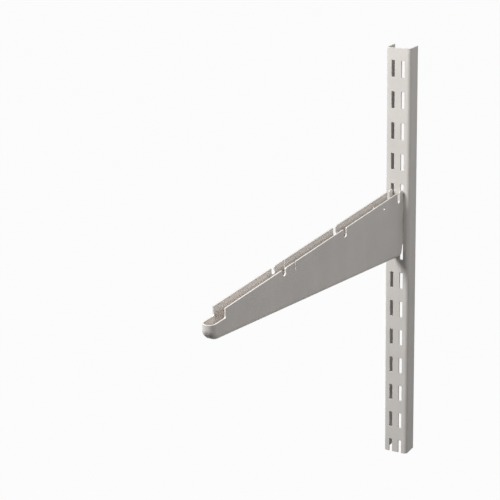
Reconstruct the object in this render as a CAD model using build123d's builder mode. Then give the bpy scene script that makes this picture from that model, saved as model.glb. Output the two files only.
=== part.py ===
from build123d import *
import os

# Slotted wall upright with a folded shelf arm hooked into its twin row of slots.
# Millimetres. X runs across the upright, -Y points out into the room and +Z is up.
# The origin is on the wall, at mid width and mid length of the upright.

# Arm: one folded sheet, two side walls joined by a floor and by a round nose
arm_reach = 376.9           # from the upright's face to the tip of the nose
arm_width = 13.0
arm_sheet = 1.5
arm_rear_height = 71.5
arm_bend = 5.0              # outer radius along the floor and round the nose's lower edge
top_fall = 6.8              # how much lower the top edge is at the step than at the rear
step_length = 22.1          # from the tip of the nose back to the step
step_depth = 8.6
step_corner = 1.5
nose_height = 14.5
nose_round = 13.0           # outer radius under the nose, seen from the side
nose_lead = 0.2             # how far past the tip that radius would end, so it meets the nose at an edge
heel_height = 12.6          # slanting relief at the lower rear corner
heel_depth = 3.6

# Seats in the top edge for the cross rods of a shelf
rod_diameter = 5.6
rod_clearance = 0.2         # each side of the rod
seat_count = 3
seat_pitch = 121.3
rear_seat_reach = 9.9       # from the upright's face to the rear rod's axis
seat_axis_drop = 8.4        # from the top edge's rear end down to the rods' axes
seat_lead_in = 0.8          # width and depth of the slope at each side of a seat's mouth

# Slit that frees a short tongue behind the front seat
slit_width = 1.6
slit_gap = 19.1             # tongue and slit together, behind the front seat
slit_depth = 8.5

# Small hole near the rear of both side walls
hang_hole_diameter = 3.0
hang_hole_reach = 44.4
hang_hole_drop = 7.4        # from the top edge's rear end

# Upright: a U channel of folded sheet, open towards the wall
upright_width = 26.5
upright_depth = 18.2
upright_length = 443.0
upright_sheet = 1.5
upright_bend = 3.8          # outer radius of the two front corners

# Twin row of slots in the upright's web
slot_pitch = 32.0
slot_length = 17.4
slot_inner_gap = 1.4        # beside a hook, towards the upright's middle
slot_outer_gap = 0.6        # beside a hook, towards the upright's side
slot_margin = 12.4          # from the upright's top end to the first slot

# Hooks and tabs: the side walls run on through two rows of slots. The upper pair are hooks that
# drop behind the web, and the lower pair are straight tabs that fill their slots.
hook_row = 4                # counted from the top end, starting at 0; the tabs are one row below
hook_top_drop = 11.4        # from the top edge's rear end to the upper neck's underside
hook_neck_height = 8.5
hook_entry_gap = 2.9        # play in the slot's length while a hook goes in
hook_thickness = 3.4
hook_web_gap = 0.3          # between a hook and the back of the web
hook_round = 1.2
tab_gap = 0.3               # between a tab and the upper end of its slot
tab_reach = 3.4             # behind the back of the web

# Sizes and places that follow from those above
face_y = -upright_depth
web_back_y = face_y + upright_sheet
first_slot_top = upright_length / 2 - slot_margin
slot_rows = int((upright_length - slot_margin) / slot_pitch) + 1    # the last may be cut by the lower end
wall_inner_x = arm_width / 2 - arm_sheet
slot_width = slot_inner_gap + arm_sheet + slot_outer_gap
slot_columns = arm_width - arm_sheet + slot_outer_gap - slot_inner_gap
slot_corner = min(slot_inner_gap, slot_outer_gap)
hook_drop = slot_length - hook_neck_height - hook_entry_gap


def slot_bottom(row):
    """Height of the lower end of a slot, where a hook or a tab rests."""
    return first_slot_top - row * slot_pitch - slot_length


arm_top = slot_bottom(hook_row) + hook_top_drop
arm_bottom = arm_top - arm_rear_height
tip_y = face_y - arm_reach
step_y = tip_y + step_length
step_top = arm_top - top_fall
ledge_z = step_top - step_depth
nose_bottom = ledge_z - nose_height
seat_z = arm_top - seat_axis_drop
seat_width = rod_diameter + 2 * rod_clearance
seat_centres = [face_y - rear_seat_reach - number * seat_pitch for number in range(seat_count)]
slit_y = seat_centres[-1] + seat_width / 2 + slit_gap - slit_width / 2


def top_edge(y):
    """Height of the arm's top edge, a straight line from the rear end to the step."""
    return arm_top - top_fall * (face_y - y) / (face_y - step_y)


with BuildPart() as upright:
    with BuildSketch(Plane.XY.offset(-upright_length / 2)):
        with BuildLine():
            outer = FilletPolyline(
                (-upright_width / 2, 0),
                (-upright_width / 2, face_y),
                (upright_width / 2, face_y),
                (upright_width / 2, 0),
                radius=upright_bend,
            )
            inner = FilletPolyline(
                (-upright_width / 2 + upright_sheet, 0),
                (-upright_width / 2 + upright_sheet, web_back_y),
                (upright_width / 2 - upright_sheet, web_back_y),
                (upright_width / 2 - upright_sheet, 0),
                radius=upright_bend - upright_sheet,
            )
            Line(outer @ 0, inner @ 0)
            Line(outer @ 1, inner @ 1)
        make_face()
    extrude(amount=upright_length)

    # Slots, from the front face to the web's back
    with BuildSketch(Plane.XZ.offset(-face_y)):
        for row in range(slot_rows):
            with Locations((0, slot_bottom(row) + slot_length / 2)):
                with GridLocations(slot_columns, slot_pitch, 2, 1):
                    RectangleRounded(slot_width, slot_length, slot_corner)
    extrude(amount=-upright_sheet, mode=Mode.SUBTRACT)


with BuildPart() as shelf_arm:
    # Outer form: a plan outline with a round nose, down to the sloping floor
    with BuildSketch(Plane.XY.offset(arm_top)):
        with BuildLine():
            nose_start = tip_y + arm_width / 2
            left = Line((-arm_width / 2, face_y), (-arm_width / 2, nose_start))
            nose = RadiusArc(left @ 1, (arm_width / 2, nose_start), -arm_width / 2)
            right = Line(nose @ 1, (arm_width / 2, face_y))
            Line(right @ 1, left @ 0)
        make_face()
    extrude(amount=-arm_rear_height)
    with BuildSketch(Plane.YZ):
        with BuildLine():
            FilletPolyline(
                (face_y, arm_top),
                (face_y, arm_bottom),
                (tip_y - nose_lead, nose_bottom),
                (tip_y - nose_lead, arm_top),
                radius=[0, 0, nose_round, 0],
                close=True,
            )
        make_face()
    extrude(amount=arm_width / 2, both=True, mode=Mode.INTERSECT)

    # Bend along the floor and round the nose, then the hollow, open above and behind
    lower_faces = faces().filter_by(lambda face: face.normal_at().Z < -0.1)
    wall_faces = faces().filter_by(lambda face: abs(face.normal_at().Z) < 0.01).sort_by(Axis.Y)[:-1]
    fillet([edge for edge in lower_faces.edges() if edge in wall_faces.edges()], radius=arm_bend)
    open_faces = [faces().sort_by(Axis.Z)[-1], faces().sort_by(Axis.Y)[-1]]
    offset(amount=-arm_sheet, openings=open_faces)

    # Side outline: sloping top edge, step, ledge and heel
    with BuildSketch(Plane.YZ):
        with BuildLine():
            FilletPolyline(
                (face_y, arm_top),
                (step_y, step_top),
                (step_y, ledge_z),
                (tip_y - arm_sheet, ledge_z),
                (tip_y - arm_sheet, arm_bottom),
                (face_y - heel_depth, arm_bottom),
                (face_y, arm_bottom + heel_height),
                radius=[0, 0, step_corner, 0, 0, 0, 0],
                close=True,
            )
        make_face()
    extrude(amount=arm_width / 2, both=True, mode=Mode.INTERSECT)

    # Rod seats with sloping mouths, slit and small hole, through both side walls
    with BuildSketch(Plane.YZ):
        for seat_y in seat_centres:
            mouth_z = top_edge(seat_y)
            with Locations((seat_y, seat_z)):
                Circle(seat_width / 2)
            with BuildLine():
                Polyline(
                    (seat_y - seat_width / 2, seat_z),
                    (seat_y - seat_width / 2, mouth_z - seat_lead_in),
                    (seat_y - seat_width / 2 - 2 * seat_lead_in, mouth_z + seat_lead_in),
                    (seat_y + seat_width / 2 + 2 * seat_lead_in, mouth_z + seat_lead_in),
                    (seat_y + seat_width / 2, mouth_z - seat_lead_in),
                    (seat_y + seat_width / 2, seat_z),
                    close=True,
                )
            make_face()
        with Locations((slit_y, top_edge(slit_y) - slit_depth + slit_width / 2)):
            Circle(slit_width / 2)
            Rectangle(slit_width, slit_depth, align=(Align.CENTER, Align.MIN))
        with Locations((face_y - hang_hole_reach, arm_top - hang_hole_drop)):
            Circle(hang_hole_diameter / 2)
    extrude(amount=arm_width, both=True, mode=Mode.SUBTRACT)

    # Hooks through the upper row and tabs through the row below, one on each side wall
    hook_y = web_back_y + hook_web_gap
    neck_z = slot_bottom(hook_row)
    tab_z = slot_bottom(hook_row + 1)
    for wall_x in (-wall_inner_x - arm_sheet, wall_inner_x):
        with BuildSketch(Plane.YZ.offset(wall_x)):
            with BuildLine():
                FilletPolyline(
                    (face_y, neck_z),
                    (hook_y, neck_z),
                    (hook_y, neck_z - hook_drop),
                    (hook_y + hook_thickness, neck_z - hook_drop),
                    (hook_y + hook_thickness, neck_z + hook_neck_height),
                    (face_y, neck_z + hook_neck_height),
                    radius=[0, 0, hook_round, hook_round, hook_round, 0],
                    close=True,
                )
            make_face()
            with BuildLine():
                FilletPolyline(
                    (face_y, tab_z),
                    (web_back_y + tab_reach, tab_z),
                    (web_back_y + tab_reach, tab_z + slot_length - tab_gap),
                    (face_y, tab_z + slot_length - tab_gap),
                    radius=[0, hook_round, hook_round, 0],
                    close=True,
                )
            make_face()
        extrude(amount=arm_sheet)


upright.part.label = "upright"
shelf_arm.part.label = "shelf_arm"

os.makedirs("parts", exist_ok=True)
export_step(upright.part, "parts/upright.step")
export_step(shelf_arm.part, "parts/shelf_arm.step")
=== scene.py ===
import math

import bpy
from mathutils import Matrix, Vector


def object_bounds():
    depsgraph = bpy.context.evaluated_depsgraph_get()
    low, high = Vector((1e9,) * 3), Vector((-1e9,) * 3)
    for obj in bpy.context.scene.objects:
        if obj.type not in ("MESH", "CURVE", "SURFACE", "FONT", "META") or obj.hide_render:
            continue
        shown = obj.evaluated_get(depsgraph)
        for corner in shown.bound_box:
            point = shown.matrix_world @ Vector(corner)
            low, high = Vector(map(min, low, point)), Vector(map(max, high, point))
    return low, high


# Looks of the slotted upright and its shelf arm, in metres, in the frame of the CAD model.

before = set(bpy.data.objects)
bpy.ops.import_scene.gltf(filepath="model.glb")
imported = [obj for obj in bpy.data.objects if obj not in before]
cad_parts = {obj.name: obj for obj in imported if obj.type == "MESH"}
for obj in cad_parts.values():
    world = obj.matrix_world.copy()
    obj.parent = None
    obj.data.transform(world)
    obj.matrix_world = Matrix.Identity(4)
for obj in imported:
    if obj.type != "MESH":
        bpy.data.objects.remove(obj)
cad_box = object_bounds()
scene = bpy.context.scene

# Powder coat: noise scales are in repeats per metre, and tones are shares of the paint's colour
cloud_scale = 22.0
cloud_dark = 0.955
cloud_light = 1.025
grain_scale = 900.0
grain_dark = 0.86
grain_share = 0.25          # the most that the grain shows
sheen_scale = 60.0
sheen_smoother = 0.03       # how far the roughness strays from the paint's own
sheen_rougher = 0.05
wave_scale = 90.0
peel_scale = 620.0
wave_share = 3.0            # height of the long waves, as a multiple of the orange peel's
coat_relief = 0.00003
edge_radius = 0.0006        # roundness that the light sees on the sheets' edges
edge_film_and_highlight_tone = 1.06            # lighter along the edges: partly a thinner film, partly a painted highlight
edge_begins = 0.995         # cosines of the angle between the rounded and the flat surface
edge_full = 0.80

# Floor and background
floor_drop = 0.45           # the upright hangs on a wall, so the floor lies well below its lower end
floor_side = 40.0
floor_grey = (0.16, 0.16, 0.16, 1.0)
floor_glow = 0.97           # share of plain white that the camera sees, and the rest keeps the shadow
white = (1.0, 1.0, 1.0, 1.0)
soft_light = (1.0, 0.985, 0.965, 1.0)
soft_strength = 0.045

# Camera at the photograph's viewing angle
sensor_mm = 36.0
lens_mm = 111.43
camera_place = (0.63390, -1.40489, 0.53142)
camera_turn = (71.148, 1.3025, 29.840)      # degrees round X, Y and Z
nearest_seen = 0.05
farthest_seen = 60.0


# Nodes and links

def fill(tree, socket, value):
    """Set a socket to a number or colour, or link it to another node's output."""
    if isinstance(value, bpy.types.NodeSocket):
        tree.links.new(value, socket)
    else:
        socket.default_value = value


def fill_named(tree, node, **inputs):
    """Fill a node's inputs by name, with underscores for spaces."""
    for name, value in inputs.items():
        fill(tree, node.inputs[name.replace("_", " ")], value)


def fill_in_order(tree, node, *values):
    """Fill a node's first inputs, for nodes whose inputs share a name."""
    for socket, value in zip(node.inputs, values):
        fill(tree, socket, value)


def add(tree, kind, **inputs):
    """A new node with its named inputs filled."""
    node = tree.nodes.new(kind)
    fill_named(tree, node, **inputs)
    return node


def calculate(tree, kind, operation, *values):
    """The result of a math node's operation on the values."""
    node = tree.nodes.new(kind)
    node.operation = operation
    fill_in_order(tree, node, *values)
    return node.outputs["Value"]


def noise(tree, place, scale, detail=2.0):
    """Noise from 0 to 1 at a place."""
    node = add(tree, "ShaderNodeTexNoise", Vector=place, Scale=scale, Detail=detail, Roughness=0.55)
    return node.outputs["Fac"]


def spread(tree, value, low, high, start=0.35, end=0.65):
    """The value, which runs from start to end, spread over low to high."""
    node = add(
        tree,
        "ShaderNodeMapRange",
        Value=value,
        From_Min=start,
        From_Max=end,
        To_Min=low,
        To_Max=high,
    )
    return node.outputs["Result"]


def in_use(sockets, name):
    """The socket of that name that a mix node uses, out of one for each kind of value."""
    return next(socket for socket in sockets if socket.enabled and socket.name == name)


def mix_colour(tree, factor, first, second):
    """Mix of two colours by a factor."""
    node = tree.nodes.new("ShaderNodeMix")
    node.data_type = "RGBA"
    for name, value in (("Factor", factor), ("A", first), ("B", second)):
        fill(tree, in_use(node.inputs, name), value)
    return in_use(node.outputs, "Result")


def mix_shader(tree, factor, first, second):
    """Mix of two shaders by a factor."""
    node = tree.nodes.new("ShaderNodeMixShader")
    fill_in_order(tree, node, factor, first, second)
    return node.outputs["Shader"]


# Paint

def shade(colour, factor):
    """The colour made darker or lighter, and opaque."""
    return tuple(min(channel * factor, 1.0) for channel in colour) + (1.0,)


def powder_coat(name, colour, roughness):
    """Satin powder coat on sheet steel: faint mottling, orange peel, and a lighter tone along the edges,
    partly a thinner film and partly a painted highlight.
    """
    material = bpy.data.materials.new(name)
    material.use_nodes = True
    tree = material.node_tree
    place = tree.nodes.new("ShaderNodeTexCoord").outputs["Object"]

    clouds = spread(tree, noise(tree, place, cloud_scale, detail=3.0), 0.0, 1.0)
    mottled = mix_colour(tree, clouds, shade(colour, cloud_dark), shade(colour, cloud_light))
    grain = spread(tree, noise(tree, place, grain_scale), 0.0, grain_share, start=0.45, end=0.75)
    grained = mix_colour(tree, grain, mottled, shade(colour, grain_dark))

    # An edge is where the rounded surface turns away from the flat one; there the colour is lighter, partly
    # a thinner film and partly a painted highlight
    bevel = add(tree, "ShaderNodeBevel", Radius=edge_radius)
    bevel.samples = 6
    rounded = bevel.outputs["Normal"]
    flat = tree.nodes.new("ShaderNodeNewGeometry").outputs["Normal"]
    agreement = calculate(tree, "ShaderNodeVectorMath", "DOT_PRODUCT", rounded, flat)
    edge_film_and_highlight_mask = spread(tree, agreement, 1.0, 0.0, start=edge_full, end=edge_begins)
    film_and_edge_highlight = mix_colour(tree, edge_film_and_highlight_mask, grained, shade(colour, edge_film_and_highlight_tone))

    sheen_noise = noise(tree, place, sheen_scale, detail=3.0)
    sheen = spread(tree, sheen_noise, roughness - sheen_smoother, roughness + sheen_rougher)

    waves = noise(tree, place, wave_scale)
    peel = noise(tree, place, peel_scale)
    relief = calculate(tree, "ShaderNodeMath", "MULTIPLY_ADD", waves, wave_share, peel)
    bump = add(tree, "ShaderNodeBump", Strength=0.35, Distance=coat_relief, Height=relief, Normal=rounded)

    fill_named(
        tree,
        tree.nodes["Principled BSDF"],
        Base_Color=film_and_edge_highlight,
        Roughness=sheen,
        Normal=bump.outputs["Normal"],
        IOR=1.5,
        Specular_IOR_Level=0.32,
        Coat_Weight=0.04,
        Coat_Roughness=0.25,
    )
    return material


paints = {
    "upright": powder_coat("upright_paint", (0.700, 0.668, 0.630), 0.46),
    # The arm's copy of the paint is a touch lighter: painted light, which brightens the arm's side faces
    # under these lamps
    "shelf_arm": powder_coat("arm_paint", (0.715, 0.676, 0.640), 0.44),
}
for node_name, paint in paints.items():
    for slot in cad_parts[node_name].material_slots:
        slot.link = "OBJECT"
        slot.material = paint


# Floor and background

def show_by_ray(tree, output_kind, hidden, seen):
    """Show the seen shader to camera, glossy and transmission rays, and the hidden one to the others."""
    ray = tree.nodes.new("ShaderNodeLightPath")
    looks = ray.outputs["Is Camera Ray"]
    for name in ("Is Glossy Ray", "Is Transmission Ray"):
        looks = calculate(tree, "ShaderNodeMath", "MAXIMUM", looks, ray.outputs[name])
    add(tree, output_kind, Surface=mix_shader(tree, looks, hidden, seen))


def backdrop():
    """Plain pale floor, white to the camera, that keeps the object's shadow."""
    bpy.ops.mesh.primitive_plane_add(size=floor_side, location=(0, 0, cad_box[0].z - floor_drop))
    plane = bpy.context.object
    plane.name = "floor"
    material = bpy.data.materials.new("floor")
    material.use_nodes = True
    tree = material.node_tree
    tree.nodes.clear()
    dull = add(tree, "ShaderNodeBsdfDiffuse", Color=floor_grey).outputs["BSDF"]
    glow = add(tree, "ShaderNodeEmission", Color=white, Strength=1.0).outputs["Emission"]
    show_by_ray(tree, "ShaderNodeOutputMaterial", dull, mix_shader(tree, floor_glow, dull, glow))
    plane.data.materials.append(material)


def surroundings():
    """White world to the camera, and a weak soft light to the object."""
    world = bpy.data.worlds.new("studio")
    world.use_nodes = True
    tree = world.node_tree
    tree.nodes.clear()
    soft = add(tree, "ShaderNodeBackground", Color=soft_light, Strength=soft_strength).outputs["Background"]
    plain = add(tree, "ShaderNodeBackground", Color=white, Strength=1.0).outputs["Background"]
    show_by_ray(tree, "ShaderNodeOutputWorld", soft, plain)
    scene.world = world


backdrop()
surroundings()


# Lights and camera

def lamp(name, place, target, side, watts):
    """A square soft light that looks at a point."""
    data = bpy.data.lights.new(name, "AREA")
    data.shape = "SQUARE"
    data.size = side
    data.energy = watts
    light = bpy.data.objects.new(name, data)
    scene.collection.objects.link(light)
    light.location = place
    light.rotation_mode = "QUATERNION"
    light.rotation_quaternion = (Vector(target) - Vector(place)).to_track_quat("-Z", "Y")


lamp("key", place=(-0.68, -1.12, 1.12), target=(0.0, -0.12, 0.10), side=0.55, watts=31.5)
lamp("top", place=(0.1, -0.5, 1.9), target=(0.0, -0.15, 0.0), side=1.0, watts=3.4)
lamp("side", place=(1.22, -0.36, 0.78), target=(0.0, -0.15, 0.0), side=0.5, watts=7.0)

view = bpy.data.cameras.new("camera")
view.sensor_width = sensor_mm
view.lens = lens_mm
view.clip_start = nearest_seen
view.clip_end = farthest_seen
camera = bpy.data.objects.new("camera", view)
camera.location = camera_place
camera.rotation_euler = [math.radians(angle) for angle in camera_turn]
scene.collection.objects.link(camera)
scene.camera = camera

scene.view_settings.view_transform = "Standard"
